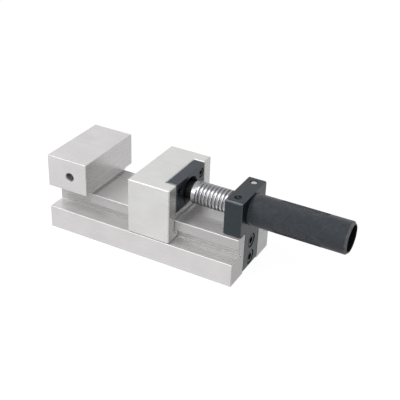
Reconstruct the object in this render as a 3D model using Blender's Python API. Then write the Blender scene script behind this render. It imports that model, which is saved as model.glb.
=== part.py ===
"""Toolmakers vise with a ground T-rail body, a hooked movable jaw and a hollow screw handle.

The lead screw doesn't turn. Its flatted head is trapped in the movable jaw by a keeper plate,
and its thread runs in the handle, which is a long rotating nut. The handle's journal turns in the
end bracket, where two pins straddle a groove, so turning the handle draws the screw into it.

Metres, +Z up. The origin is the middle of the body's underside, and +X points to the handle.
"""

import math

import bmesh
import bpy
from mathutils import Matrix, Vector

# Body: flange, neck and lips make the T-rail that the fixed jaw stands on
BODY_LENGTH = 0.125
BODY_WIDTH = 0.050
FLANGE_THICKNESS = 0.0147
NECK_WIDTH = 0.0270
NECK_HEIGHT = 0.0063
RAIL_WIDTH = 0.0360
LIP_THICKNESS = 0.0065
LIP_UNDER_JAW = 0.0020
JAW_HEIGHT = 0.0225
FIXED_JAW_LENGTH = 0.0275
FIXED_JAW_LIFT = 0.0018
RELIEF_DEPTH = 0.0010
RELIEF_HEIGHT = 0.0012

# Tapped hole for a work stop in each side of the fixed jaw
STOP_HOLE_DIAMETER = 0.0050
STOP_HOLE_DEPTH = 0.0120
STOP_HOLE_COUNTERSINK = 0.0006
STOP_HOLE_FROM_END = 0.0157
STOP_HOLE_ABOVE_RAIL = 0.0114

# Movable jaw, and where it stands at rest
MOVABLE_JAW_LENGTH = 0.0275
OPENING_AT_REST = 0.0290

# Lead screw
SCREW_AXIS_ABOVE_RAIL = 0.0115
SCREW_DIAMETER = 0.0140
SCREW_LEAD = 0.0023
THREAD_DEPTH = 0.0013
SCREW_REACH = 0.0765
SCREW_NECK_DIAMETER = 0.0110
SCREW_NECK_SHOWN = 0.0034
SCREW_SHOULDER_CHAMFER = 0.0004
SCREW_END_CHAMFER = 0.0010
HEAD_DIAMETER = 0.0220
HEAD_ACROSS_FLATS = 0.0150
HEAD_THICKNESS = 0.0045

# Keeper plate that traps the screw's head
KEEPER_THICKNESS = 0.0068
KEEPER_WIDTH = 0.0330
KEEPER_HEIGHT = 0.0186
KEEPER_BORE_DIAMETER = 0.0170
KEEPER_SCREW_SPACING = 0.0256
KEEPER_SCREW_FROM_TOP = 0.0053

# End bracket with its tongue in the body's slot
BRACKET_THICKNESS = 0.0110
BRACKET_WIDTH = 0.0320
BRACKET_CORNER_RADIUS = 0.0018
TONGUE_WIDTH = 0.0190
TONGUE_FOOT = 0.0010
BRACKET_SCREW_HEIGHT = 0.0065
BRACKET_SCREW_SPACING = 0.0115

# Pins that straddle the journal's groove
PIN_DIAMETER = 0.0040
PIN_LENGTH = 0.0180
PIN_RECESSES = {"near": 0.0022, "far": 0.0002}
PIN_ENGAGEMENT = 0.0010

# Handle, a hollow nut with a journal at its left end, built up from the screw that it runs on
HANDLE_BORE_RELIEF = 0.0004
HANDLE_WALL = 0.0018
HANDLE_LENGTH = 0.0570
HANDLE_GAP = 0.0013
HANDLE_CHAMFER = 0.0011
JOURNAL_STEP = 0.00025
JOURNAL_CHAMFER = 0.0005
NUT_LENGTH = 0.0240
MOUTH_CHAMFER = 0.0005

# Socket head cap screws: keeper size and bracket size
SMALL_SCREW = {"shank": 0.0030, "head": 0.0055, "height": 0.0030, "length": 0.0100, "socket": 0.0025}
LARGE_SCREW = {"shank": 0.0050, "head": 0.0085, "height": 0.0050, "length": 0.0160, "socket": 0.0040}
SCREW_HEAD_RECESS = 0.0003
SOCKET_DEPTH_SHARE = 0.55
SCREW_POINT_CHAMFER = 0.0006

# Fits and edge breaks
SEAT_GAP = 0.0003
RUNNING_GAP = 0.0003
EDGE_BREAK = 0.0005
BLACK_EDGE_BREAK = 0.0004

# Facets of round shapes, and how far a cutter runs past what it cuts
THREAD_STEPS = 24
BORE_STEPS = 48
HANDLE_STEPS = 64
SCREW_STEPS = 20
CORNER_STEPS = 10
OVERCUT = 0.002

# Heights and stations that follow from the sizes above
LIP_UNDERSIDE = FLANGE_THICKNESS + NECK_HEIGHT
RAIL_TOP = LIP_UNDERSIDE + LIP_THICKNESS
JAW_TOP = RAIL_TOP + JAW_HEIGHT
AXIS_HEIGHT = RAIL_TOP + SCREW_AXIS_ABOVE_RAIL
BODY_END = BODY_LENGTH / 2
FIXED_FACE = FIXED_JAW_LENGTH - BODY_END
JAW_FRONT = FIXED_FACE + OPENING_AT_REST
JAW_REAR = JAW_FRONT + MOVABLE_JAW_LENGTH
KEEPER_FRONT = JAW_REAR - KEEPER_THICKNESS
HEAD_REAR = KEEPER_FRONT - SEAT_GAP
HEAD_FRONT = HEAD_REAR - HEAD_THICKNESS
SCREW_REAR = HEAD_REAR + SCREW_REACH
BRACKET_FRONT = BODY_END - BRACKET_THICKNESS
BRACKET_MIDDLE = BODY_END - BRACKET_THICKNESS / 2
HANDLE_START = BODY_END + HANDLE_GAP
HANDLE_END = HANDLE_START + HANDLE_LENGTH
NUT_RADIUS = SCREW_DIAMETER / 2 + RUNNING_GAP
HANDLE_BORE_RADIUS = NUT_RADIUS + HANDLE_BORE_RELIEF
HANDLE_RADIUS = HANDLE_BORE_RADIUS + HANDLE_WALL
JOURNAL_RADIUS = HANDLE_RADIUS - JOURNAL_STEP
PIN_OFFSET = JOURNAL_RADIUS - PIN_ENGAGEMENT + PIN_DIAMETER / 2

AXES = {"X": Vector((1, 0, 0)), "Y": Vector((0, 1, 0)), "Z": Vector((0, 0, 1))}


def clear_scene():
    """Removes what the file opened with."""
    for item in list(bpy.data.objects):
        bpy.data.objects.remove(item, do_unlink=True)


def material(name, colour, roughness, metallic):
    """A plain Principled material for one sub-part."""
    made = bpy.data.materials.new(name)
    made.use_nodes = True
    shader = made.node_tree.nodes["Principled BSDF"]
    shader.inputs["Base Color"].default_value = (*colour, 1.0)
    shader.inputs["Roughness"].default_value = roughness
    shader.inputs["Metallic"].default_value = metallic
    return made


def object_from(name, bm, smooth=False):
    """Turns a bmesh into a linked object with its faces pointing out."""
    bmesh.ops.recalc_face_normals(bm, faces=bm.faces)
    if bm.calc_volume(signed=True) < 0:
        bmesh.ops.reverse_faces(bm, faces=bm.faces)
    mesh = bpy.data.meshes.new(name)
    bm.to_mesh(mesh)
    bm.free()
    if smooth:
        mesh.shade_smooth()
        mesh.set_sharp_from_angle(angle=math.radians(30))
    made = bpy.data.objects.new(name, mesh)
    bpy.context.scene.collection.objects.link(made)
    return made


def prism(name, outline, low, high, axis="X"):
    """Sweeps a closed outline from low to high; the outline is in the other two axes, in order."""
    bm = bmesh.new()
    order = {"X": (2, 0, 1), "Y": (0, 2, 1), "Z": (0, 1, 2)}[axis]
    corners = [bm.verts.new([(u, v, low)[i] for i in order]) for u, v in outline]
    swept = bmesh.ops.extrude_face_region(bm, geom=[bm.faces.new(corners)])
    moved = [item for item in swept["geom"] if isinstance(item, bmesh.types.BMVert)]
    bmesh.ops.translate(bm, verts=moved, vec=AXES[axis] * (high - low))
    return object_from(name, bm)


def block(name, x, y, z):
    """A box between three pairs of limits."""
    return prism(name, rectangle(*y, *z), *x)


def turned(name, profile, steps, closed=False):
    """Spins a profile of (along, radius) points about the X axis."""
    bm = bmesh.new()
    points = [bm.verts.new((along, 0.0, radius)) for along, radius in profile]
    pairs = list(zip(points, points[1:]))
    if closed:
        pairs.append((points[-1], points[0]))
    lines = [bm.edges.new(pair) for pair in pairs]
    turn = 2 * math.pi
    bmesh.ops.spin(bm, geom=points + lines, axis=AXES["X"], cent=(0, 0, 0), angle=turn, steps=steps)
    bmesh.ops.remove_doubles(bm, verts=bm.verts, dist=1e-6)
    return object_from(name, bm, smooth=True)


def rectangle(u_low, u_high, v_low, v_high):
    """Corners of a rectangle, in order."""
    return [(u_low, v_low), (u_high, v_low), (u_high, v_high), (u_low, v_high)]


def arc(centre, radius, start, end, steps):
    """Points on an arc between two angles in degrees."""
    angles = [math.radians(start + (end - start) * i / steps) for i in range(steps + 1)]
    return [(centre[0] + radius * math.cos(a), centre[1] + radius * math.sin(a)) for a in angles]


def move(item, x=0.0, y=0.0, z=0.0, turn=None):
    """Places a mesh that was built about the world's origin."""
    if turn:
        item.data.transform(turn)
    item.data.transform(Matrix.Translation((x, y, z)))
    return item


def cut(item, cutter, operation="DIFFERENCE"):
    """Cuts, joins or trims a piece with another, by a Boolean that stays on it."""
    boolean = item.modifiers.new(cutter.name, "BOOLEAN")
    boolean.operation = operation
    boolean.object = cutter
    cutter.hide_render = True
    cutter.display_type = "WIRE"


def bake(item):
    """Applies a piece's modifiers and deletes the cutters that they used."""
    used = [modifier.object for modifier in item.modifiers]
    evaluated = item.evaluated_get(bpy.context.evaluated_depsgraph_get())
    mesh = bpy.data.meshes.new_from_object(evaluated)
    item.modifiers.clear()
    item.data = mesh
    for cutter in used:
        bpy.data.objects.remove(cutter, do_unlink=True)
    return item


def break_edges(item, width):
    """Chamfers every outer corner of a flat-sided piece, as a grinder's stone leaves it."""
    bake(item)
    bm = bmesh.new()
    bm.from_mesh(item.data)
    bmesh.ops.dissolve_limit(bm, angle_limit=math.radians(1), verts=bm.verts, edges=bm.edges)
    outer = [edge for edge in bm.edges if edge.calc_face_angle_signed() > math.radians(60)]
    bmesh.ops.bevel(bm, geom=outer, offset=width, segments=1, affect="EDGES", clamp_overlap=True)
    bmesh.ops.recalc_face_normals(bm, faces=bm.faces)
    bm.to_mesh(item.data)
    bm.free()


def finish(item, surface, carrier, origin):
    """Gives a piece its material and its origin, and hangs it on the empty that carries it."""
    item.data.materials.clear()
    item.data.materials.append(surface)
    place = Vector(origin)
    item.data.transform(Matrix.Translation(-place))
    for modifier in item.modifiers:
        modifier.object.parent = item
        modifier.object.location = -place
    item.parent = carrier
    item.location = place - carrier.location
    return item


def carrier_empty(name, x, z):
    """An empty that a joint moves, on that joint's axis."""
    empty = bpy.data.objects.new(name, None)
    empty.empty_display_size = 0.01
    empty.location = (x, 0.0, z)
    bpy.context.scene.collection.objects.link(empty)
    return empty


def vise_body():
    """Flange, T-rail and fixed jaw in one piece, machined from an L-shaped blank."""
    half = BODY_WIDTH / 2
    relief = FIXED_FACE - RELIEF_DEPTH
    elevation = [
        (-BODY_END, 0.0), (BODY_END, 0.0), (BODY_END, RAIL_TOP), (relief, RAIL_TOP),
        (relief, RAIL_TOP + RELIEF_HEIGHT), (FIXED_FACE, RAIL_TOP + RELIEF_HEIGHT),
        (FIXED_FACE, JAW_TOP), (-BODY_END, JAW_TOP),
    ]
    body = prism("vise_body", elevation, -half, half, axis="Y")
    jaw_underside = RAIL_TOP + FIXED_JAW_LIFT
    lip_start = FIXED_FACE - LIP_UNDER_JAW
    past = BODY_END + OVERCUT
    lip_cut = [
        (-past, FLANGE_THICKNESS), (past, FLANGE_THICKNESS), (past, LIP_UNDERSIDE),
        (lip_start, LIP_UNDERSIDE), (lip_start, jaw_underside), (-past, jaw_underside),
    ]
    for side, name in ((-1, "near"), (1, "far")):
        outer = sorted((side * RAIL_WIDTH / 2, side * (half + OVERCUT)))
        inner = sorted((side * NECK_WIDTH / 2, side * (RAIL_WIDTH / 2 + OVERCUT)))
        shoulder = block("rail_side_" + name, (-past, past), outer, (FLANGE_THICKNESS, jaw_underside))
        cut(body, shoulder)
        cut(body, prism("undercut_" + name, lip_cut, *inner, axis="Y"))
    break_edges(body, EDGE_BREAK)
    slot_half = TONGUE_WIDTH / 2 + SEAT_GAP
    slot_z = (-OVERCUT, RAIL_TOP + OVERCUT)
    cut(body, block("tongue_slot", (BRACKET_FRONT - SEAT_GAP, past), (-slot_half, slot_half), slot_z))
    hole_x = STOP_HOLE_FROM_END - BODY_END
    hole_z = RAIL_TOP + STOP_HOLE_ABOVE_RAIL
    for side, name in ((-1, "near"), (1, "far")):
        radius = STOP_HOLE_DIAMETER / 2
        hole = drill("stop_hole_" + name, radius, STOP_HOLE_DEPTH, countersink=STOP_HOLE_COUNTERSINK)
        turn = Matrix.Rotation(side * math.pi / 2, 4, "Z")
        cut(body, move(hole, hole_x, side * half, hole_z, turn))
    for height, name in bracket_screw_places():
        radius = LARGE_SCREW["shank"] / 2 + SEAT_GAP
        tip = BODY_END - SCREW_HEAD_RECESS - LARGE_SCREW["height"] - LARGE_SCREW["length"]
        hole = drill("bracket_thread_" + name, radius, BRACKET_FRONT - tip + SEAT_GAP)
        cut(body, move(hole, BRACKET_FRONT, 0.0, height))
    return body


def drill(name, radius, depth, counterbore=None, countersink=0.0, steps=SCREW_STEPS):
    """A round cutter along -X from its mouth at the origin; a counterbore is a (radius, depth) pair."""
    mouth, step = counterbore or (radius + countersink, 0.0)
    profile = [(OVERCUT, 0.0), (OVERCUT, mouth), (-step, mouth), (-step - countersink, radius)]
    return turned(name, profile + [(-depth, radius), (-depth, 0.0)], steps)


def bracket_screw_places():
    """Heights and names of the two cap screws in the bracket's tongue."""
    lower = BRACKET_SCREW_HEIGHT
    return (lower, "lower"), (lower + BRACKET_SCREW_SPACING, "upper")


def keeper_screw_places():
    """Sideways places and names of the keeper's two cap screws."""
    half = KEEPER_SCREW_SPACING / 2
    return (-half, "near"), (half, "far")


def flatted_round(radius, half_flats, steps=12):
    """Outline across the screw of a round with its top and bottom milled flat."""
    edge = math.degrees(math.asin(half_flats / radius))
    centre = (0.0, AXIS_HEIGHT)
    return arc(centre, radius, -edge, edge, steps) + arc(centre, radius, 180 - edge, 180 + edge, steps)


def movable_jaw():
    """Jaw whose skirts straddle the rail and hook under its lips, pocketed for the screw's head."""
    half = BODY_WIDTH / 2
    foot = FLANGE_THICKNESS + RUNNING_GAP
    hook = LIP_UNDERSIDE - RUNNING_GAP
    roof = RAIL_TOP + RUNNING_GAP
    throat = NECK_WIDTH / 2 + RUNNING_GAP
    room = RAIL_WIDTH / 2 + RUNNING_GAP
    section = [
        (-half, foot), (-throat, foot), (-throat, hook), (-room, hook), (-room, roof), (room, roof),
        (room, hook), (throat, hook), (throat, foot), (half, foot), (half, JAW_TOP), (-half, JAW_TOP),
    ]
    jaw = prism("movable_jaw", section, JAW_FRONT, JAW_REAR)
    pocket_half = KEEPER_WIDTH / 2 + SEAT_GAP
    pocket_floor = JAW_TOP - KEEPER_HEIGHT - SEAT_GAP
    pocket_x = (KEEPER_FRONT - SEAT_GAP, JAW_REAR + OVERCUT)
    pocket_y = (-pocket_half, pocket_half)
    cut(jaw, block("keeper_pocket", pocket_x, pocket_y, (pocket_floor, JAW_TOP + OVERCUT)))
    break_edges(jaw, EDGE_BREAK)
    recess = flatted_round(HEAD_DIAMETER / 2 + SEAT_GAP, HEAD_ACROSS_FLATS / 2 + SEAT_GAP)
    cut(jaw, prism("head_pocket", recess, HEAD_FRONT - SEAT_GAP, KEEPER_FRONT))
    for y, name in keeper_screw_places():
        radius = SMALL_SCREW["shank"] / 2 + SEAT_GAP
        tip = JAW_REAR - SCREW_HEAD_RECESS - SMALL_SCREW["height"] - SMALL_SCREW["length"]
        hole = drill("keeper_thread_" + name, radius, KEEPER_FRONT - tip + SEAT_GAP, steps=16)
        cut(jaw, move(hole, KEEPER_FRONT, y, JAW_TOP - KEEPER_SCREW_FROM_TOP))
    return jaw


def counterbored(name, screw, x, y, z):
    """Cutter for a cap screw's head and shank, with its mouth in a face at x that looks along +X."""
    head = screw["head"] / 2 + SEAT_GAP
    seat = SCREW_HEAD_RECESS + screw["height"] + SEAT_GAP
    depth = SCREW_HEAD_RECESS + screw["height"] + screw["length"]
    hole = drill(name, screw["shank"] / 2 + SEAT_GAP, depth, counterbore=(head, seat))
    return move(hole, x, y, z)


def keeper_plate():
    """Plate flush with the jaw's top and back, whose bore clears the thread but not the screw's head."""
    half = KEEPER_WIDTH / 2
    foot = JAW_TOP - KEEPER_HEIGHT
    plate = block("keeper_plate", (KEEPER_FRONT, JAW_REAR), (-half, half), (foot, JAW_TOP))
    break_edges(plate, BLACK_EDGE_BREAK)
    through = KEEPER_THICKNESS + OVERCUT
    bore = drill("keeper_screw_bore", KEEPER_BORE_DIAMETER / 2, through, steps=BORE_STEPS)
    cut(plate, move(bore, JAW_REAR, 0.0, AXIS_HEIGHT))
    for y, name in keeper_screw_places():
        height = JAW_TOP - KEEPER_SCREW_FROM_TOP
        cut(plate, counterbored("keeper_bore_" + name, SMALL_SCREW, JAW_REAR, y, height))
    return plate


def cap_screw(name, screw):
    """Socket head cap screw about the X axis, with the underside of its head at the origin."""
    head, shank, height = screw["head"] / 2, screw["shank"] / 2, screw["height"]
    rim = head * 0.12
    point = SCREW_POINT_CHAMFER
    profile = [
        (height, 0.0), (height, head - rim), (height - rim, head), (0.0, head), (0.0, shank),
        (point - screw["length"], shank), (-screw["length"], shank - point), (-screw["length"], 0.0),
    ]
    made = turned(name, profile, SCREW_STEPS)
    corner = screw["socket"] / math.sqrt(3)
    hexagon = [(corner * math.cos(math.radians(a)), corner * math.sin(math.radians(a))) for a in range(0, 360, 60)]
    floor = height * (1 - SOCKET_DEPTH_SHARE)
    cut(made, prism(name + "_socket", hexagon, floor, height + OVERCUT))
    return bake(made)


def threaded_bar(start, end, front, back):
    """Bar about the X axis with a left-hand V-thread between start and end.

    The groove deepens over the first turn, and the crest sinks over the last. front and back are the
    plain ends, as (along, radius) points that lead away from the thread.
    """
    root = SCREW_DIAMETER / 2 - THREAD_DEPTH
    advance = SCREW_LEAD / THREAD_STEPS
    count = int((end - start) / advance) - THREAD_STEPS
    flat = SCREW_LEAD / 8
    flank = SCREW_LEAD / 2 - flat
    section = ((0.0, 0.0), (flat, 0.0), (flat + flank, THREAD_DEPTH), (2 * flat + flank, THREAD_DEPTH))
    bm = bmesh.new()

    def point(step, along, radius):
        angle = 2 * math.pi * step / THREAD_STEPS
        return bm.verts.new((along, radius * math.sin(angle), radius * math.cos(angle)))

    helix = []
    for step in range(count + THREAD_STEPS + 1):
        groove = min(1.0, step / THREAD_STEPS)
        crest = max(0.0, min(1.0, (count - step) / THREAD_STEPS))
        shown = section if step <= count else section[:1]
        x = start + advance * step
        turn = []
        for along, height in shown:
            height = (THREAD_DEPTH - (THREAD_DEPTH - height) * groove) * crest
            turn.append(point(step, x + along, root + height))
        helix.append(turn)
    for step in range(count):
        here = helix[step] + helix[step + THREAD_STEPS][:1]
        ahead = helix[step + 1] + helix[step + THREAD_STEPS + 1][:1]
        for i in range(len(section)):
            bm.faces.new((here[i], here[i + 1], ahead[i + 1], ahead[i]))

    # Each end of the helix is a spiral edge, which a plain ring closes with one long face at its step
    first = [point(step, *front[0]) for step in range(THREAD_STEPS)]
    for step in range(THREAD_STEPS - 1):
        bm.faces.new((first[step], first[step + 1], helix[step + 1][0], helix[step][0]))
    bm.faces.new([first[-1], first[0]] + helix[0] + [helix[THREAD_STEPS][0], helix[THREAD_STEPS - 1][0]])
    last = [point(count + step, *back[0]) for step in range(THREAD_STEPS)]
    tail = [points[0] for points in helix[count:]]
    for step in range(1, THREAD_STEPS):
        bm.faces.new((tail[step], tail[step + 1], last[(step + 1) % THREAD_STEPS], last[step]))
    bm.faces.new([tail[1], last[1], last[0], tail[-1]] + helix[count][::-1])

    for ring, offset, profile in ((first, 0, front), (last, count, back)):
        for along, radius in profile[1:]:
            outer = [point(offset + step, along, radius) for step in range(THREAD_STEPS)]
            for step in range(THREAD_STEPS):
                bm.faces.new((ring[step - 1], ring[step], outer[step], outer[step - 1]))
            ring = outer
        bm.faces.new(ring)
    return object_from("lead_screw", bm, smooth=True)


def lead_screw():
    """Threaded bar with a plain neck that runs through the keeper to a head milled flat on two sides."""
    full = SCREW_DIAMETER / 2
    root = full - THREAD_DEPTH
    neck = SCREW_NECK_DIAMETER / 2
    shoulder = JAW_REAR + SCREW_NECK_SHOWN
    rim = shoulder + SCREW_SHOULDER_CHAMFER
    plain = SCREW_LEAD / 8
    bevel_start = SCREW_REAR - SCREW_END_CHAMFER
    front = [
        (rim, full), (shoulder, full - SCREW_SHOULDER_CHAMFER), (shoulder, neck),
        (HEAD_REAR - HEAD_THICKNESS / 2, neck),
    ]
    back = [(bevel_start, root), (SCREW_REAR, root - SCREW_END_CHAMFER)]
    screw = move(threaded_bar(rim + plain, bevel_start - plain, front, back), z=AXIS_HEIGHT)
    outline = flatted_round(HEAD_DIAMETER / 2, HEAD_ACROSS_FLATS / 2)
    head = prism("screw_head", outline, HEAD_FRONT, HEAD_REAR)
    break_edges(head, BLACK_EDGE_BREAK)
    cut(screw, head, "UNION")
    return bake(screw)


def end_bracket():
    """T-shaped plate on the rail's end: shoulders on the rail, tongue in its slot, bore for the journal."""
    half = BRACKET_WIDTH / 2
    tongue = TONGUE_WIDTH / 2
    seat = RAIL_TOP + SEAT_GAP
    corner = BRACKET_CORNER_RADIUS
    outline = [(-tongue, TONGUE_FOOT), (tongue, TONGUE_FOOT), (tongue, seat), (half, seat)]
    outline += arc((half - corner, JAW_TOP - corner), corner, 0, 90, CORNER_STEPS)
    outline += arc((corner - half, JAW_TOP - corner), corner, 90, 180, CORNER_STEPS)
    outline += [(-half, seat), (-tongue, seat)]
    bracket = prism("end_bracket", outline, BRACKET_FRONT, BODY_END)
    break_edges(bracket, BLACK_EDGE_BREAK)
    bore = JOURNAL_RADIUS + RUNNING_GAP
    through = BRACKET_THICKNESS + OVERCUT
    cut(bracket, move(drill("journal_bore", bore, through, steps=BORE_STEPS), BODY_END, 0.0, AXIS_HEIGHT))
    upright = Matrix.Rotation(-math.pi / 2, 4, "Y")
    for side, name in ((-1, "near"), (1, "far")):
        depth = PIN_RECESSES[name] + PIN_LENGTH + SEAT_GAP
        hole = drill("pin_hole_" + name, PIN_DIAMETER / 2 + SEAT_GAP, depth)
        cut(bracket, move(hole, BRACKET_MIDDLE, side * PIN_OFFSET, JAW_TOP, upright))
    for height, name in bracket_screw_places():
        cut(bracket, counterbored("bracket_bore_" + name, LARGE_SCREW, BODY_END, 0.0, height))
    return bracket


def retaining_pin(name, side, top):
    """Hardened dowel, driven to a height, that stands in the bracket and keeps the journal in its bore."""
    radius = PIN_DIAMETER / 2
    bevel = radius * 0.2
    profile = [
        (0.0, 0.0), (0.0, radius - bevel), (-bevel, radius),
        (bevel - PIN_LENGTH, radius), (-PIN_LENGTH, radius - bevel), (-PIN_LENGTH, 0.0),
    ]
    pin = turned(name, profile, SCREW_STEPS)
    upright = Matrix.Rotation(-math.pi / 2, 4, "Y")
    return move(pin, BRACKET_MIDDLE, side * PIN_OFFSET, top, upright)


def handle_sleeve():
    """Hollow handle: journal with its groove, shoulder, plain grip and open mouth."""
    journal, grip = JOURNAL_RADIUS, HANDLE_RADIUS
    nut, bore = NUT_RADIUS, HANDLE_BORE_RADIUS
    start = BRACKET_FRONT + RUNNING_GAP
    groove_half = PIN_DIAMETER / 2 + RUNNING_GAP
    groove = journal - PIN_ENGAGEMENT - RUNNING_GAP
    nut_end = start + NUT_LENGTH
    profile = [
        (start, nut), (start, journal - JOURNAL_CHAMFER), (start + JOURNAL_CHAMFER, journal),
        (BRACKET_MIDDLE - groove_half, journal), (BRACKET_MIDDLE - groove_half, groove),
        (BRACKET_MIDDLE + groove_half, groove), (BRACKET_MIDDLE + groove_half, journal),
        (HANDLE_START, journal), (HANDLE_START + HANDLE_CHAMFER / 2, grip),
        (HANDLE_END - HANDLE_CHAMFER, grip), (HANDLE_END, grip - HANDLE_CHAMFER),
        (HANDLE_END, bore + MOUTH_CHAMFER), (HANDLE_END - MOUTH_CHAMFER, bore),
        (nut_end + bore - nut, bore), (nut_end, nut),
    ]
    return move(turned("handle_sleeve", profile, HANDLE_STEPS, closed=True), z=AXIS_HEIGHT)


def placed_screw(name, mesh, x, y, z, surface, carrier):
    """One cap screw whose head's underside is at a place, sharing its mesh with its twin."""
    made = bpy.data.objects.new(name, mesh)
    bpy.context.scene.collection.objects.link(made)
    made.parent = carrier
    made.location = Vector((x, y, z)) - carrier.location
    mesh.materials.clear()
    mesh.materials.append(surface)


def main():
    clear_scene()
    ground = material("ground_steel", (0.62, 0.61, 0.60), 0.28, 1.0)
    jaw_steel = material("ground_jaw_steel", (0.64, 0.63, 0.62), 0.26, 1.0)
    thread = material("bright_screw_steel", (0.58, 0.58, 0.58), 0.30, 1.0)
    keeper_black = material("keeper_black_oxide", (0.050, 0.052, 0.060), 0.42, 0.7)
    bracket_black = material("bracket_black_oxide", (0.040, 0.042, 0.045), 0.40, 0.7)
    handle_black = material("handle_black_oxide", (0.052, 0.054, 0.060), 0.50, 0.7)
    screw_black = material("screw_black_oxide", (0.030, 0.030, 0.032), 0.38, 0.7)
    pin_steel = material("pin_steel", (0.55, 0.55, 0.56), 0.22, 1.0)

    base = carrier_empty("base", 0.0, 0.0)
    slide = carrier_empty("jaw_slide", JAW_FRONT, AXIS_HEIGHT)
    spin = carrier_empty("handle_spin", BRACKET_MIDDLE, AXIS_HEIGHT)

    finish(vise_body(), ground, base, (0.0, 0.0, 0.0))
    finish(movable_jaw(), jaw_steel, slide, (JAW_FRONT, 0.0, AXIS_HEIGHT))
    finish(keeper_plate(), keeper_black, slide, (KEEPER_FRONT, 0.0, AXIS_HEIGHT))
    finish(lead_screw(), thread, slide, (HEAD_FRONT, 0.0, AXIS_HEIGHT))
    finish(end_bracket(), bracket_black, base, (BRACKET_MIDDLE, 0.0, RAIL_TOP))
    finish(handle_sleeve(), handle_black, spin, (BRACKET_MIDDLE, 0.0, AXIS_HEIGHT))
    for side, name in ((-1, "near"), (1, "far")):
        top = JAW_TOP - PIN_RECESSES[name]
        pin = retaining_pin("retaining_pin_" + name, side, top)
        finish(pin, pin_steel, base, (BRACKET_MIDDLE, side * PIN_OFFSET, top))

    small = cap_screw("small_cap_screw", SMALL_SCREW)
    large = cap_screw("large_cap_screw", LARGE_SCREW)
    keeper_seat = JAW_REAR - SCREW_HEAD_RECESS - SMALL_SCREW["height"]
    bracket_seat = BODY_END - SCREW_HEAD_RECESS - LARGE_SCREW["height"]
    for y, name in keeper_screw_places():
        height = JAW_TOP - KEEPER_SCREW_FROM_TOP
        placed_screw("keeper_screw_" + name, small.data, keeper_seat, y, height, screw_black, slide)
    for height, name in bracket_screw_places():
        placed_screw("bracket_screw_" + name, large.data, bracket_seat, 0.0, height, screw_black, base)
    for pattern in (small, large):
        bpy.data.objects.remove(pattern, do_unlink=True)


main()
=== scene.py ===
"""Looks of the toolmakers vise: ground steel, black oxide, a fine thread, a knurled grip, light and camera.

Metres, +Z up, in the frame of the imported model: +X runs from the fixed jaw to the handle.
"""

import math

import bmesh
import bpy
from mathutils import Matrix, Vector


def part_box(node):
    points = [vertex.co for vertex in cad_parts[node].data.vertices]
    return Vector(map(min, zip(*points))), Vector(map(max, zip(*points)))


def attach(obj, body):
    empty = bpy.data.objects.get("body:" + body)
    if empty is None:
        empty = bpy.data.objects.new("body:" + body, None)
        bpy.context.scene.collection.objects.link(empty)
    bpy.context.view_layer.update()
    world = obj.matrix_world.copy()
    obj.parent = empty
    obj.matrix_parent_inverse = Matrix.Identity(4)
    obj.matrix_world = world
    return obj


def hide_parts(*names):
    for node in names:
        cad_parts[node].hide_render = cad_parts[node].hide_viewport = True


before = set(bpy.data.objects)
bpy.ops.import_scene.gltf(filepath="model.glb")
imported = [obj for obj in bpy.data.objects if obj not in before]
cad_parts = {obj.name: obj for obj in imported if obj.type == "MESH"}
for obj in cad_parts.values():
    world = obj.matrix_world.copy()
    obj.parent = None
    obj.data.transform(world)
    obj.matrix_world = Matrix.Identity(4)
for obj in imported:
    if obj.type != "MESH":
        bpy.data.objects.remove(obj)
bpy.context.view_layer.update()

# Camera, fitted to the photograph's 400 x 400 frame
PHOTO_WIDTH = 400
SENSOR_WIDTH = 36.0
FOCAL_PIXELS = 815.7
CAMERA_AZIMUTH = 27.14
CAMERA_ELEVATION = 30.51
CAMERA_ROLL = 2.37
CAMERA_DISTANCE = 0.4772
CAMERA_TARGET = Vector((0.02805, 0.0, 0.0342))
CAMERA_REACH = (0.01, 50.0)

# Studio
FLOOR_SIZE = 8.0
FLOOR_DROP = 0.0001
FLOOR_COLOUR = (0.12, 0.12, 0.12)
FLOOR_LIFT = 0.94
WORLD_STRENGTH = 0.25
WORLD_SEEN = 0.90
WHITE = (1.0, 1.0, 1.0, 1.0)
KEY_PLACE = (-0.42, -0.46, 0.98)
KEY_SIZE = 0.50
KEY_ENERGY = 7.7
FRONT_PLACE = (0.16, -1.00, 0.62)
FRONT_SIZE = 0.60
FRONT_ENERGY = 7.2

# Places of a Mix node's sockets: its factor, the numbers or colours that it mixes, and what it gives
MIX_FACTOR = 0
MIX_NUMBERS = (2, 3)
MIX_COLOURS = (6, 7)
MIXED_NUMBER = 0
MIXED_COLOUR = 2

# A normal's share along the vise is at least this on an end face and on a turned piece's chamfer
END_FACING = 0.8
TURNED_FACING = 0.5

# A chamfer's normal has no larger share along any axis
BEVEL_FACING = 0.93

# Noise of the finishes: the range its values keep to, its roughness, and its start away from its lattice
NOISE_LOW = 0.3
NOISE_HIGH = 0.7
NOISE_ROUGHNESS = 0.6
GRAIN_SHIFT = (17.37, 31.61, 23.43)
EVEN = (1.0, 1.0, 1.0)

# Ground steel: grain in cycles a metre across and along its lines, then the shares of tone, of painted shade
# and of roughness
FINE_GRAIN = (4200.0, 60.0)
BROAD_GRAIN = (380.0, 6.0)
STEEL_CLOUDS = 70.0
FINE_TONE = (0.2, 0.5)
BROAD_TONE = (-0.1, 0.2)
CLOUD_TONE = (-0.2, 0.4)
GRAIN_DARK = 0.94
GRAIN_LIGHT = 1.06
MILLED_AND_SHADE_DARK = 0.66
MILLED_AND_SHADE_SHARE = (0.8, 1.0)
# Chamfers a shade darker: painted shade that dims the lamp's highlight on them
BEVEL_SHADE = 0.95
GROUND_ROUGHNESS = (0.9, 1.1)
GRAIN_BUMP = {"Strength": 0.4, "Distance": 0.000004}

# Chamfers are stoned by hand, so they are rougher than the ground faces by this much
BEVEL_ROUGHENING = 0.38
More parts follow.
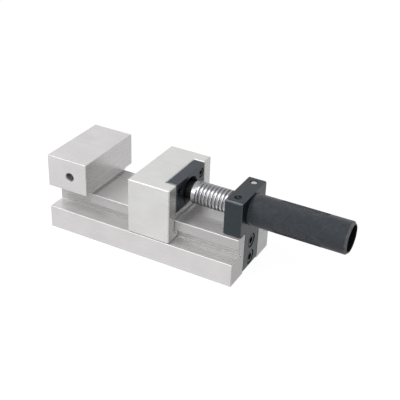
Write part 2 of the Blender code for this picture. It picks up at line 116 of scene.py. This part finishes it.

# Black oxide: cycles a metre of its mottling and its fine tooth, then the shares of tone, of wear with
# painted highlight, and of roughness
OXIDE_MOTTLE = 420.0
OXIDE_DETAIL = 4.0
OXIDE_TOOTH = 5200.0
MOTTLE_DARK = 0.8
MOTTLE_LIGHT = 1.25
LEAST_WEAR_AND_HIGHLIGHT = 0.4
OXIDE_ROUGHNESS = (0.85, 1.2)
OXIDE_BUMP = {"Strength": 0.6, "Distance": 0.00002}

# Gloss of blackened faces, and the lower gloss of those that look along the vise, which paints shade on them
GLOSS = 0.48
END_GLOSS_SHADE = 0.25
GLOSS_TINT = (0.80, 0.91, 1.0, 1.0)

# Turned steel: cycles a metre of its rings, along and around, and of its smears
RING_SCALE = (9000.0, 300.0, 300.0)
SMEAR_SCALE = 350.0
SMEAR_DARK = 0.85
TURNED_ROUGHNESS = (0.8, 1.2)

# The body's darker stretches: the neck and lips (milled, with painted shade under the overhangs) and the rail
# top (painted shade), all above the ledges, and the right end (painted shade)
RAIL_HALF_WIDTH = 0.0183
RAIL_HEIGHTS = (0.0149, 0.0277)
SHADED_END = 0.0622
RAIL_TOP_SHADE = 0.5

# The work-stop holes in the fixed jaw's sides: their axis, their countersink's reach and the painted shade in
# them
HOLE_X = -0.0468
HOLE_Z = 0.0389
HOLE_REACH = 0.0034
HOLE_START = 0.0249
HOLE_SHADE = 0.48

# Lead screw
THREAD_LEAD = 0.0023
THREAD_RADIUS = 0.0070
THREAD_DEPTH = 0.0009
THREAD_STEPS = 72
THREAD_SHARP = 50.0
SCREW_NECK_RADIUS = 0.0055
SCREW_NECK_LENGTH = 0.0105
SCREW_SHOULDER_CHAMFER = 0.0004
SCREW_HEAD_THICKNESS = 0.0045
SCREW_END_CHAMFER = 0.0010
SCREW_RUNOUT = THREAD_LEAD / 8
LEAST_COSINE = 1e-6

# One turn of the thread: shares of its lead along, and of its depth up
THREAD_SECTION = (
    (0.00, 0.00), (0.10, 0.00), (0.14, 0.08), (0.25, 0.86), (0.28, 0.96),
    (0.32, 1.00), (0.78, 1.00), (0.82, 0.96), (0.85, 0.86), (0.96, 0.08),
)

# Handle, with stations from its left end; its mouth's chamfers are nearer to the photograph than the CAD's
JOURNAL_RADIUS = 0.00925
JOURNAL_CHAMFER = 0.0005
GROOVE_RADIUS = 0.00795
GROOVE_MIDDLE = 0.0052
GROOVE_HALF = 0.0023
GRIP_START = 0.0120
HANDLE_CHAMFER = 0.0013
MOUTH_CHAMFER = 0.0002
NUT_RADIUS = 0.0073
NUT_END = 0.0240
BORE_RADIUS = 0.0077
KNURL_WIDTH = 0.0010
KNURL_DEPTH = 0.00020
KNURL_RISE = 0.00008
KNURL_ANGLE = 30.0
KNURL_MARGIN = 0.0142
KNURL_BORDER = 0.0003
KNURL_SHARP = 18.0

# Cap screws and pins, with their sockets and chamfers
SMALL_SOCKET = 0.0025
LARGE_SOCKET = 0.0040
SMALL_HEAD_HEIGHT = 0.0030
LARGE_HEAD_HEIGHT = 0.0050
SMALL_SHANK_RADIUS = 0.0015
LARGE_SHANK_RADIUS = 0.0025
SOCKET_DEPTH_SHARE = 0.55
POINT_CHAMFER = 0.0006
PIN_CHAMFER = 0.0004
ROUND_STEPS = 48
ROUND_SHARP = 35.0

# Cap screws: the rim's share of the head's radius, and shares of the rim and of the socket's half width
RIM_SHARE = 0.12
RIM_ROUND = 0.3
CONE_DEPTH = 0.4
CONE_END = 0.1
CONE_RIM = 0.9

# The domed end of a pin: shares of its radius, and of its chamfer down
DOME_FLAT = 0.25
DOME_MIDDLE = 0.6
DOME_DROP = 0.15
DOME_EDGE_DROP = 0.4


def feed(tree, socket, value):
    """Links an input to another node's output, or sets its plain value."""
    if isinstance(value, bpy.types.NodeSocket):
        tree.links.new(value, socket)
    else:
        socket.default_value = value


def add(tree, kind, inputs=None):
    """Adds a shader node, with values or links for its inputs."""
    made = tree.nodes.new(kind)
    for name, value in (inputs or {}).items():
        feed(tree, made.inputs[name], value)
    return made


def math_node(tree, operation, *values):
    """One Math node on sockets or numbers; returns its output."""
    made = tree.nodes.new("ShaderNodeMath")
    made.operation = operation
    for socket, value in zip(made.inputs, values):
        feed(tree, socket, value)
    return made.outputs[0]


def new_material(name, **values):
    """A material with a Principled shader whose plain values are set on its own sockets."""
    made = bpy.data.materials.new(name)
    made.use_nodes = True
    shader = made.node_tree.nodes["Principled BSDF"]
    for socket, value in values.items():
        shader.inputs[socket.replace("_", " ")].default_value = value
    return made, made.node_tree, shader


def mix_colour(tree, factor, dark, light):
    """Mixes two colours, each a tuple or a socket, by a factor."""
    made = tree.nodes.new("ShaderNodeMix")
    made.data_type = "RGBA"
    feed(tree, made.inputs[MIX_FACTOR], factor)
    for index, value in zip(MIX_COLOURS, (dark, light)):
        feed(tree, made.inputs[index], (*value, 1.0) if isinstance(value, tuple) else value)
    return made.outputs[MIXED_COLOUR]


def spread(tree, value, low, high):
    """Maps a noise value, which stays near its middle, to a range."""
    made = add(tree, "ShaderNodeMapRange", {"Value": value, "From Min": NOISE_LOW, "From Max": NOISE_HIGH,
                                            "To Min": low, "To Max": high})
    return made.outputs["Result"]


def tinted(colour, share):
    """A colour at a share of its lightness."""
    return tuple(part * share for part in colour)


def roughened(tree, value, roughness, shares):
    """A roughness that a noise value varies between two shares of it."""
    return spread(tree, value, *(roughness * share for share in shares))


def emboss(tree, shader, height, amount):
    """Gives a shader a bump from a noise value."""
    bump = add(tree, "ShaderNodeBump", {"Height": height, **amount})
    tree.links.new(bump.outputs["Normal"], shader.inputs["Normal"])


def grain_noise(tree, stretch, scale, detail=2.0):
    """Noise in object space, in cycles a metre along each axis, shifted off the noise's own flat planes."""
    place = add(tree, "ShaderNodeTexCoord")
    mapped = add(tree, "ShaderNodeMapping", {"Vector": place.outputs["Object"], "Scale": stretch,
                                             "Location": GRAIN_SHIFT})
    noise = add(tree, "ShaderNodeTexNoise", {"Vector": mapped.outputs["Vector"], "Scale": scale,
                                             "Detail": detail, "Roughness": NOISE_ROUGHNESS})
    return noise.outputs["Fac"]


def parts_of(tree, kind):
    """The X, Y and Z of a point's place ("Object") or direction ("Normal"), in object space."""
    place = add(tree, "ShaderNodeTexCoord")
    split = add(tree, "ShaderNodeSeparateXYZ", {"Vector": place.outputs[kind]})
    return [split.outputs[axis] for axis in "XYZ"]


def facing(tree):
    """How squarely a point faces each axis: three sockets from 0 to 1."""
    return [math_node(tree, "ABSOLUTE", part) for part in parts_of(tree, "Normal")]


def end_mask(tree):
    """1 on faces that look along the vise."""
    return math_node(tree, "GREATER_THAN", facing(tree)[0], END_FACING)


def inside(tree, value, low, high):
    """1 where a value lies between two limits."""
    above = math_node(tree, "GREATER_THAN", value, low)
    return math_node(tree, "MULTIPLY", above, math_node(tree, "LESS_THAN", value, high))


def milled_and_shade_mask(tree):
    """1 on the body's neck and lips (milled, with painted shade under the overhangs) and on its right end
    (painted shade), less on its rail top (painted shade), 0 on the other faces.
    """
    along, across, up = parts_of(tree, "Object")
    narrow = math_node(tree, "LESS_THAN", math_node(tree, "ABSOLUTE", across), RAIL_HALF_WIDTH)
    rail = math_node(tree, "MULTIPLY", narrow, inside(tree, up, *RAIL_HEIGHTS))
    tone = math_node(tree, "MULTIPLY_ADD", facing(tree)[2], RAIL_TOP_SHADE - 1.0, 1.0)
    rail = math_node(tree, "MULTIPLY", rail, tone)
    return math_node(tree, "MAXIMUM", rail, math_node(tree, "GREATER_THAN", along, SHADED_END))


def hole_shade_mask(tree):
    """1 in the work-stop holes and on their countersinks, which painted shade darkens, 0 elsewhere."""
    along, across, up = parts_of(tree, "Object")
    along = math_node(tree, "SUBTRACT", along, HOLE_X)
    up = math_node(tree, "SUBTRACT", up, HOLE_Z)
    square = math_node(tree, "MULTIPLY_ADD", up, up, math_node(tree, "MULTIPLY", along, along))
    near = math_node(tree, "LESS_THAN", math_node(tree, "SQRT", square), HOLE_REACH)
    deep = math_node(tree, "LESS_THAN", math_node(tree, "ABSOLUTE", across), HOLE_START)
    return math_node(tree, "MULTIPLY", near, deep)


def bevel_mask(tree, turned=False):
    """1 on chamfers, 0 on square faces and, where a piece is turned about the X axis, on its round ones."""
    along, across, up = facing(tree)
    if turned:
        return inside(tree, along, TURNED_FACING, BEVEL_FACING)
    squarest = math_node(tree, "MAXIMUM", math_node(tree, "MAXIMUM", along, across), up)
    return math_node(tree, "LESS_THAN", squarest, BEVEL_FACING)


def straight_grain(tree, on_end, scales):
    """Lines along the vise, and across it on its end faces, from cycles a metre across and along a line."""
    fine, long = scales
    side = grain_noise(tree, (long, fine, fine), 1.0)
    end = grain_noise(tree, (fine, long, fine), 1.0)
    chosen = add(tree, "ShaderNodeMix", {"Factor": on_end})
    for index, lines in zip(MIX_NUMBERS, (side, end)):
        feed(tree, chosen.inputs[index], lines)
    return chosen.outputs[MIXED_NUMBER]


def ground_steel(name, colour, roughness, milled_and_shaded=False):
    """Surface-ground steel with fine straight grain; the body's neck and lips (milled), rail top, right end
    and holes are darker, with painted shade.
    """
    made, tree, shader = new_material(name, Metallic=0.5, Roughness=roughness)
    on_end = end_mask(tree)
    fine = straight_grain(tree, on_end, FINE_GRAIN)
    broad = straight_grain(tree, on_end, BROAD_GRAIN)
    cloud = grain_noise(tree, EVEN, STEEL_CLOUDS)
    tone = math_node(tree, "ADD", spread(tree, fine, *FINE_TONE), spread(tree, broad, *BROAD_TONE))
    tone = math_node(tree, "ADD", tone, spread(tree, cloud, *CLOUD_TONE))
    body = mix_colour(tree, tone, tinted(colour, GRAIN_DARK), tinted(colour, GRAIN_LIGHT))
    if milled_and_shaded:
        # Painted shade darkens the neck, lips, rail top and right end; the neck and lips are milled as well
        shade = math_node(tree, "MULTIPLY", milled_and_shade_mask(tree), spread(tree, broad, *MILLED_AND_SHADE_SHARE))
        body = mix_colour(tree, shade, body, tinted(colour, MILLED_AND_SHADE_DARK))
    bevel = bevel_mask(tree)
    # Painted shade on the chamfers, to dim the lamp's highlight on them
    body = mix_colour(tree, bevel, body, tinted(colour, BEVEL_SHADE))
    if milled_and_shaded:
        # Painted shade in the work-stop holes and on their countersinks
        body = mix_colour(tree, hole_shade_mask(tree), body, tinted(colour, HOLE_SHADE))
    tree.links.new(body, shader.inputs["Base Color"])
    rough = roughened(tree, broad, roughness, GROUND_ROUGHNESS)
    rough = math_node(tree, "MULTIPLY_ADD", bevel, BEVEL_ROUGHENING, rough)
    tree.links.new(rough, shader.inputs["Roughness"])
    emboss(tree, shader, fine, GRAIN_BUMP)
    return made


def black_oxide(name, colour, roughness, worn_and_lit, wear_and_highlight=0.5, turned=False, **values):
    """Chemically blackened steel: faint mottling, end faces dulled as painted shade, and chamfers a lighter
    grey from wear and as a painted highlight.
    """
    made, tree, shader = new_material(name, Metallic=0.0, Roughness=roughness, Specular_Tint=GLOSS_TINT,
                                      **values)
    if not turned:
        # Painted shade: faces that look along the vise reflect less than the rest
        gloss = math_node(tree, "MULTIPLY_ADD", end_mask(tree), END_GLOSS_SHADE - GLOSS, GLOSS)
        tree.links.new(gloss, shader.inputs["Specular IOR Level"])
    mottle = grain_noise(tree, EVEN, OXIDE_MOTTLE, OXIDE_DETAIL)
    tooth = grain_noise(tree, EVEN, OXIDE_TOOTH)
    body = mix_colour(tree, spread(tree, mottle, 0.0, 1.0), tinted(colour, MOTTLE_DARK),
                      tinted(colour, MOTTLE_LIGHT))
    # Chamfers lighter grey: wear, and a painted highlight
    patches = spread(tree, mottle, wear_and_highlight * LEAST_WEAR_AND_HIGHLIGHT, wear_and_highlight)
    rubbed_and_lit = math_node(tree, "MULTIPLY", bevel_mask(tree, turned), patches)
    tree.links.new(mix_colour(tree, rubbed_and_lit, body, worn_and_lit), shader.inputs["Base Color"])
    tree.links.new(roughened(tree, tooth, roughness, OXIDE_ROUGHNESS), shader.inputs["Roughness"])
    emboss(tree, shader, tooth, OXIDE_BUMP)
    return made


def turned_steel(name, colour, roughness):
    """Bright steel with the fine rings that turning or rolling leaves about the screw's axis."""
    made, tree, shader = new_material(name, Metallic=1.0, Roughness=roughness)
    rings = grain_noise(tree, RING_SCALE, 1.0)
    smear = grain_noise(tree, EVEN, SMEAR_SCALE)
    tone = mix_colour(tree, spread(tree, smear, 0.0, 1.0), tinted(colour, SMEAR_DARK), colour)
    tree.links.new(tone, shader.inputs["Base Color"])
    tree.links.new(roughened(tree, rings, roughness, TURNED_ROUGHNESS), shader.inputs["Roughness"])
    emboss(tree, shader, rings, GRAIN_BUMP)
    return made


def dress(node, surface):
    """Gives a CAD node its finish."""
    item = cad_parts[node]
    item.data.materials.clear()
    item.data.materials.append(surface)


def piece_from(name, bm, surface, sharp=ROUND_SHARP, second=None, is_second=None):
    """Turns a bmesh into a shown piece; a second finish goes to the faces whose middles is_second picks."""
    if second:
        for face in bm.faces:
            face.material_index = int(is_second(face.calc_center_median()))
    bmesh.ops.recalc_face_normals(bm, faces=bm.faces)
    if bm.calc_volume(signed=True) < 0:
        bmesh.ops.reverse_faces(bm, faces=bm.faces)
    mesh = bpy.data.meshes.new(name)
    bm.to_mesh(mesh)
    bm.free()
    mesh.shade_smooth()
    mesh.set_sharp_from_angle(angle=math.radians(sharp))
    for finish in filter(None, (surface, second)):
        mesh.materials.append(finish)
    made = bpy.data.objects.new(name, mesh)
    bpy.context.scene.collection.objects.link(made)
    return made


def ring(bm, centre, axis, radius, steps, phase=0.0):
    """A ring of vertices about a point, square to the X or Z axis; its radius may follow the angle."""
    made = []
    for i in range(steps):
        angle = phase + 2 * math.pi * i / steps
        reach = radius(angle) if callable(radius) else radius
        over, up = reach * math.sin(angle), reach * math.cos(angle)
        offset = (0.0, over, up) if axis == "X" else (over, up, 0.0)
        made.append(bm.verts.new(Vector(centre) + Vector(offset)))
    return made


def bridge(bm, first, second):
    """Joins two rings of the same count with four-sided faces."""
    for i in range(len(first)):
        bm.faces.new((first[i - 1], first[i], second[i], second[i - 1]))


def lathe(bm, centre, axis, profile):
    """Rings along a profile of (along, radius) from a centre, joined and closed at both ends."""
    step = Vector((1, 0, 0)) if axis == "X" else Vector((0, 0, 1))
    rings = [ring(bm, Vector(centre) + step * along, axis, radius, ROUND_STEPS) for along, radius in profile]
    for first, second in zip(rings, rings[1:]):
        bridge(bm, first, second)
    bm.faces.new(rings[0])
    bm.faces.new(rings[-1])


def show(made, body, node):
    """Makes a piece ride a body in the place of a CAD node, which it hides."""
    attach(made, body)
    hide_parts(node)


def axis_height():
    """Height of the screw's axis: the middle of the handle's box."""
    low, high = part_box("handle_sleeve")
    return (low.z + high.z) / 2


AXIS = axis_height()


def thread_section():
    """(along, height) of one turn of the thread: narrow root, steep flanks, wide crest with rounded edges."""
    return [(along * THREAD_LEAD, height * THREAD_DEPTH) for along, height in THREAD_SECTION]


def lead_screw(surface, neck_and_head_surface):
    """The threaded bar with its neck and flatted head in the dark finish, in place of the CAD screw."""
    low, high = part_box("lead_screw")
    head_rear = low.x + SCREW_HEAD_THICKNESS
    shoulder = head_rear + SCREW_NECK_LENGTH
    rim = shoulder + SCREW_SHOULDER_CHAMFER
    start = rim + SCREW_RUNOUT
    stop = high.x - SCREW_END_CHAMFER - SCREW_RUNOUT
    root = THREAD_RADIUS - THREAD_DEPTH
    advance = THREAD_LEAD / THREAD_STEPS
    count = int((stop - start) / advance) - THREAD_STEPS
    section = thread_section()
    bm = bmesh.new()
    helix = []
    for step in range(count + THREAD_STEPS + 1):
        angle = 2 * math.pi * step / THREAD_STEPS
        groove = min(1.0, step / THREAD_STEPS)
        crest = max(0.0, min(1.0, (count - step) / THREAD_STEPS))
        turn = []
        for along, height in section if step <= count else section[:1]:
            radius = root + (THREAD_DEPTH - (THREAD_DEPTH - height) * groove) * crest
            over, up = radius * math.sin(angle), radius * math.cos(angle)
            turn.append(bm.verts.new((start + advance * step + along, over, AXIS + up)))
        helix.append(turn)
    for step in range(count):
        here = helix[step] + helix[step + THREAD_STEPS][:1]
        ahead = helix[step + 1] + helix[step + THREAD_STEPS + 1][:1]
        for i in range(len(section)):
            bm.faces.new((here[i], here[i + 1], ahead[i + 1], ahead[i]))

    # Plain rings close the spiral edge at each end of the helix
    first = ring(bm, (rim, 0.0, AXIS), "X", THREAD_RADIUS, THREAD_STEPS)
    for step in range(THREAD_STEPS - 1):
        bm.faces.new((first[step], first[step + 1], helix[step + 1][0], helix[step][0]))
    bm.faces.new([first[-1], first[0]] + helix[0] + [helix[THREAD_STEPS][0], helix[THREAD_STEPS - 1][0]])
    offset = 2 * math.pi * count / THREAD_STEPS
    last = ring(bm, (high.x - SCREW_END_CHAMFER, 0.0, AXIS), "X", root, THREAD_STEPS, offset)
    tail = [points[0] for points in helix[count:]]
    for step in range(1, THREAD_STEPS):
        bm.faces.new((tail[step], tail[step + 1], last[(step + 1) % THREAD_STEPS], last[step]))
    bm.faces.new([tail[1], last[1], last[0], tail[-1]] + helix[count][::-1])
    tip = ring(bm, (high.x, 0.0, AXIS), "X", root - SCREW_END_CHAMFER, THREAD_STEPS, offset)
    bridge(bm, last, tip)
    bm.faces.new(tip)

    # Shoulder and neck, then the head with its two milled flats
    half_flats = high.z - AXIS

    def flatted(angle):
        return min(high.y, half_flats / max(abs(math.cos(angle)), LEAST_COSINE))

    ring_before = first
    for x, radius in ((shoulder, THREAD_RADIUS - SCREW_SHOULDER_CHAMFER), (shoulder, SCREW_NECK_RADIUS),
                      (head_rear, SCREW_NECK_RADIUS), (head_rear, flatted), (low.x, flatted)):
        ring_after = ring(bm, (x, 0.0, AXIS), "X", radius, THREAD_STEPS)
        bridge(bm, ring_before, ring_after)
        ring_before = ring_after
    bm.faces.new(ring_before)

    def before_thread(middle):
        return middle.x < shoulder

    # The neck and head take the dark finish, the thread the bright one
    made = piece_from("lead_screw_thread", bm, surface, THREAD_SHARP, neck_and_head_surface, before_thread)
    show(made, "jaw", "lead_screw")


def knurl_stations(start, stop, grip, around):
    """(x, radius by column) of a diamond knurl: valleys and peaks alternate and shift each row."""
    row_step = math.pi * grip / around / math.tan(math.radians(KNURL_ANGLE)) * 2
    rows = 2 * round((stop - start) / row_step / 2)
    peak, valley = grip + KNURL_RISE, grip + KNURL_RISE - KNURL_DEPTH
    stations = []
    for row in range(rows + 1):
        x = start + (stop - start) * row / rows
        radii = [valley if (row + column) % 2 == 0 else peak for column in range(around)]
        if row in (0, rows):
            radii = [grip] * around
        stations.append((x, radii))
    return stations


def in_bore(middle):
    """Whether a face's middle lies inside the handle's bore."""
    return math.hypot(middle.y, middle.z - AXIS) < BORE_RADIUS


def handle_sleeve(surface, bore_shade_surface):
    """The hollow handle with its groove, knurled band and chamfered mouth, in place of the CAD sleeve; its
    bore takes a near-black finish as painted shade.
    """
    low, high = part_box("handle_sleeve")
    grip = high.y
    left, right = low.x, high.x
    grip_start = left + GRIP_START + HANDLE_CHAMFER / 2
    groove_left = left + GROOVE_MIDDLE - GROOVE_HALF
    groove_right = left + GROOVE_MIDDLE + GROOVE_HALF
    around = 2 * round(2 * math.pi * grip / KNURL_WIDTH)
    knurl_start = left + GRIP_START + KNURL_MARGIN
    knurl_stop = right - KNURL_MARGIN
    before_knurl = [
        (left, JOURNAL_RADIUS - JOURNAL_CHAMFER), (left + JOURNAL_CHAMFER, JOURNAL_RADIUS),
        (groove_left, JOURNAL_RADIUS), (groove_left, GROOVE_RADIUS), (groove_right, GROOVE_RADIUS),
        (groove_right, JOURNAL_RADIUS), (left + GRIP_START, JOURNAL_RADIUS), (grip_start, grip),
        (knurl_start - KNURL_BORDER, grip),
    ]
    after_knurl = [
        (knurl_stop + KNURL_BORDER, grip), (right - HANDLE_CHAMFER, grip), (right, grip - HANDLE_CHAMFER),
        (right, BORE_RADIUS + MOUTH_CHAMFER), (right - MOUTH_CHAMFER, BORE_RADIUS),
        (left + NUT_END + BORE_RADIUS - NUT_RADIUS, BORE_RADIUS), (left + NUT_END, NUT_RADIUS),
        (left, NUT_RADIUS),
    ]
    bm = bmesh.new()
    rings = []
    for x, radius in before_knurl + knurl_stations(knurl_start, knurl_stop, grip, around) + after_knurl:
        made = ring(bm, (x, 0.0, AXIS), "X", 1.0, around)
        for column, vertex in enumerate(made):
            reach = radius[column] if isinstance(radius, list) else radius
            vertex.co.y *= reach
            vertex.co.z = AXIS + (vertex.co.z - AXIS) * reach
        rings.append((made, isinstance(radius, list)))
    for index, (made, knurled) in enumerate(rings):
        before, also_knurled = rings[index - 1]
        if not (knurled and also_knurled):
            bridge(bm, before, made)
            continue

        # Each cell of the knurl is split along the diagonal that joins its two valleys
        for column in range(around):
            a, b, c, d = before[column - 1], before[column], made[column], made[column - 1]
            row = index - len(before_knurl) - 1
            if (row + column - 1) % 2 == 0:
                triangles = (a, b, c), (a, c, d)
            else:
                triangles = (a, b, d), (b, c, d)
            for corners in triangles:
                bm.faces.new(corners)
    made = piece_from("handle_sleeve_knurled", bm, surface, KNURL_SHARP, bore_shade_surface, in_bore)
    show(made, "handle", "handle_sleeve")


def cap_screw(node, body, surface, sizes):
    """A socket head cap screw with round sides and a hexagon socket, in place of a CAD one."""
    socket, head_height, shank = sizes
    low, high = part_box(node)
    head = (high.y - low.y) / 2
    rim = head * RIM_SHARE
    apothem = socket / 2
    sixth = math.pi / 3

    def hexagon(angle):
        return apothem / math.cos(angle % sixth - sixth / 2)

    floor = -head_height * SOCKET_DEPTH_SHARE
    centre = (high.x, (low.y + high.y) / 2, (low.z + high.z) / 2)
    tip = low.x - high.x
    profile = [
        (floor - apothem * CONE_DEPTH, apothem * CONE_END), (floor, apothem * CONE_RIM), (floor, hexagon),
        (0.0, hexagon), (0.0, head - rim), (-rim * RIM_ROUND, head - rim * RIM_ROUND), (-rim, head),
        (-head_height, head), (-head_height, shank), (tip + POINT_CHAMFER, shank),
        (tip, shank - POINT_CHAMFER),
    ]
    bm = bmesh.new()
    lathe(bm, centre, "X", profile)
    show(piece_from(node + "_round", bm, surface), body, node)


def retaining_pin(node, surface):
    """A ground dowel with a faintly domed end, in place of a CAD one."""
    low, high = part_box(node)
    radius = (high.x - low.x) / 2
    centre = ((low.x + high.x) / 2, (low.y + high.y) / 2, high.z)
    bottom = low.z - high.z
    profile = [
        (0.0, radius * DOME_FLAT), (-PIN_CHAMFER * DOME_DROP, radius * DOME_MIDDLE),
        (-PIN_CHAMFER * DOME_EDGE_DROP, radius - PIN_CHAMFER), (-PIN_CHAMFER, radius),
        (bottom + PIN_CHAMFER, radius), (bottom, radius - PIN_CHAMFER),
    ]
    bm = bmesh.new()
    lathe(bm, centre, "Z", profile)
    show(piece_from(node + "_round", bm, surface), "base", node)


def camera():
    """The photograph's viewpoint, with its small roll."""
    azimuth, elevation, roll = (math.radians(a) for a in (CAMERA_AZIMUTH, CAMERA_ELEVATION, CAMERA_ROLL))
    level = Vector((math.cos(azimuth), math.sin(azimuth), 0.0))
    back = Vector((math.sin(azimuth) * math.cos(elevation), -math.cos(azimuth) * math.cos(elevation),
                   math.sin(elevation)))
    upright = back.cross(level)
    right = level * math.cos(roll) + upright * math.sin(roll)
    up = back.cross(right)
    data = bpy.data.cameras.new("camera")
    data.sensor_width = SENSOR_WIDTH
    data.lens = FOCAL_PIXELS * SENSOR_WIDTH / PHOTO_WIDTH
    data.clip_start, data.clip_end = CAMERA_REACH
    made = bpy.data.objects.new("camera", data)
    turn = Matrix((right, up, back)).transposed().to_4x4()
    made.matrix_world = Matrix.Translation(CAMERA_TARGET + back * CAMERA_DISTANCE) @ turn
    bpy.context.scene.collection.objects.link(made)
    bpy.context.scene.camera = made


def seen_directly(tree):
    """1 for rays that come from the camera, a mirror or glass, and 0 for soft light."""
    path = add(tree, "ShaderNodeLightPath")
    seen = math_node(tree, "ADD", path.outputs["Is Camera Ray"], path.outputs["Is Glossy Ray"])
    seen = math_node(tree, "ADD", seen, path.outputs["Is Transmission Ray"])
    return math_node(tree, "MINIMUM", seen, 1.0)


def studio_floor():
    """A wide white table. Seen directly it is lifted to white, and it keeps the vise's soft shadow."""
    bm = bmesh.new()
    bmesh.ops.create_grid(bm, x_segments=1, y_segments=1, size=FLOOR_SIZE / 2)
    mesh = bpy.data.meshes.new("floor")
    bm.to_mesh(mesh)
    bm.free()
    floor = bpy.data.objects.new("floor", mesh)
    floor.location.z = -FLOOR_DROP
    bpy.context.scene.collection.objects.link(floor)
    surface = bpy.data.materials.new("floor_white")
    surface.use_nodes = True
    tree = surface.node_tree
    tree.nodes.clear()
    paper = add(tree, "ShaderNodeBsdfDiffuse", {"Color": (*FLOOR_COLOUR, 1.0)})
    lift = math_node(tree, "MULTIPLY", seen_directly(tree), FLOOR_LIFT)
    glow = add(tree, "ShaderNodeEmission", {"Color": WHITE, "Strength": lift})
    both = tree.nodes.new("ShaderNodeAddShader")
    tree.links.new(paper.outputs[0], both.inputs[0])
    tree.links.new(glow.outputs[0], both.inputs[1])
    add(tree, "ShaderNodeOutputMaterial", {"Surface": both.outputs[0]})
    mesh.materials.append(surface)


def studio_world():
    """Soft white surroundings: plain light, and white where they are seen."""
    world = bpy.data.worlds.new("studio")
    world.use_nodes = True
    tree = world.node_tree
    tree.nodes.clear()
    strength = add(tree, "ShaderNodeMapRange", {"Value": seen_directly(tree), "To Min": WORLD_STRENGTH,
                                                "To Max": WORLD_SEEN})
    light = add(tree, "ShaderNodeBackground", {"Color": WHITE, "Strength": strength.outputs[0]})
    add(tree, "ShaderNodeOutputWorld", {"Surface": light.outputs[0]})
    bpy.context.scene.world = world


def soft_lamp(name, place, size, energy):
    """A square area lamp that looks at the vise."""
    data = bpy.data.lights.new(name, "AREA")
    data.shape = "SQUARE"
    data.size = size
    data.energy = energy
    lamp = bpy.data.objects.new(name, data)
    lamp.location = place
    lamp.rotation_mode = "QUATERNION"
    lamp.rotation_quaternion = (CAMERA_TARGET - Vector(place)).to_track_quat("-Z", "Y")
    bpy.context.scene.collection.objects.link(lamp)


def studio_lamps():
    """A softbox above, to the front and left, and a weaker one in front."""
    soft_lamp("key", KEY_PLACE, KEY_SIZE, KEY_ENERGY)
    soft_lamp("front", FRONT_PLACE, FRONT_SIZE, FRONT_ENERGY)


def dress_nodes():
    """Gives every CAD node that stays its finish, and makes the pieces that take the others' place."""
    steel = ground_steel("ground_steel_fine", colour=(0.67, 0.655, 0.655), roughness=0.26, milled_and_shaded=True)
    jaw_steel = ground_steel("ground_jaw_steel_fine", colour=(0.69, 0.685, 0.68), roughness=0.26)
    keeper = black_oxide("keeper_black_fine", colour=(0.019, 0.024, 0.032), roughness=0.30,
                         worn_and_lit=(0.16, 0.16, 0.17))
    bracket = black_oxide("bracket_black_fine", colour=(0.009, 0.013, 0.017), roughness=0.32,
                          worn_and_lit=(0.16, 0.16, 0.16))
    screws = black_oxide("screw_black_fine", colour=(0.012, 0.012, 0.013), roughness=0.35,
                         worn_and_lit=(0.05, 0.05, 0.05), turned=True, Specular_IOR_Level=0.25)
    pins = turned_steel("pin_steel_fine", colour=(0.60, 0.60, 0.61), roughness=0.25)
    # The handle's chamfers are lighter grey from wear and as a painted highlight
    handle = black_oxide("handle_black_fine", colour=(0.031, 0.034, 0.040), roughness=0.70,
                         worn_and_lit=(0.23, 0.23, 0.245), wear_and_highlight=0.7, turned=True, Specular_IOR_Level=0.24,
                         Sheen_Weight=0.30, Sheen_Roughness=0.5)
    # Painted shade: the bore is near black, darker than the handle's own oxide
    bore_shade = black_oxide("handle_bore_shade_fine", colour=(0.005, 0.005, 0.006), roughness=0.80,
                        worn_and_lit=(0.02, 0.02, 0.02), turned=True, Specular_IOR_Level=0.10)
    thread = turned_steel("bright_screw_fine", colour=(0.34, 0.34, 0.35), roughness=0.36)
    dress("vise_body", steel)
    dress("movable_jaw", jaw_steel)
    dress("keeper_plate", keeper)
    dress("end_bracket", bracket)
    handle_sleeve(handle, bore_shade)
    lead_screw(thread, screws)
    small = (SMALL_SOCKET, SMALL_HEAD_HEIGHT, SMALL_SHANK_RADIUS)
    large = (LARGE_SOCKET, LARGE_HEAD_HEIGHT, LARGE_SHANK_RADIUS)
    for node in ("keeper_screw_near", "keeper_screw_far"):
        cap_screw(node, "jaw", screws, small)
    for node in ("bracket_screw_lower", "bracket_screw_upper"):
        cap_screw(node, "base", screws, large)
    for node in ("retaining_pin_near", "retaining_pin_far"):
        retaining_pin(node, pins)


def main():
    """Dresses the vise and lights it."""
    dress_nodes()
    studio_floor()
    studio_world()
    studio_lamps()
    camera()
    bpy.context.scene.view_settings.view_transform = "Standard"


main()
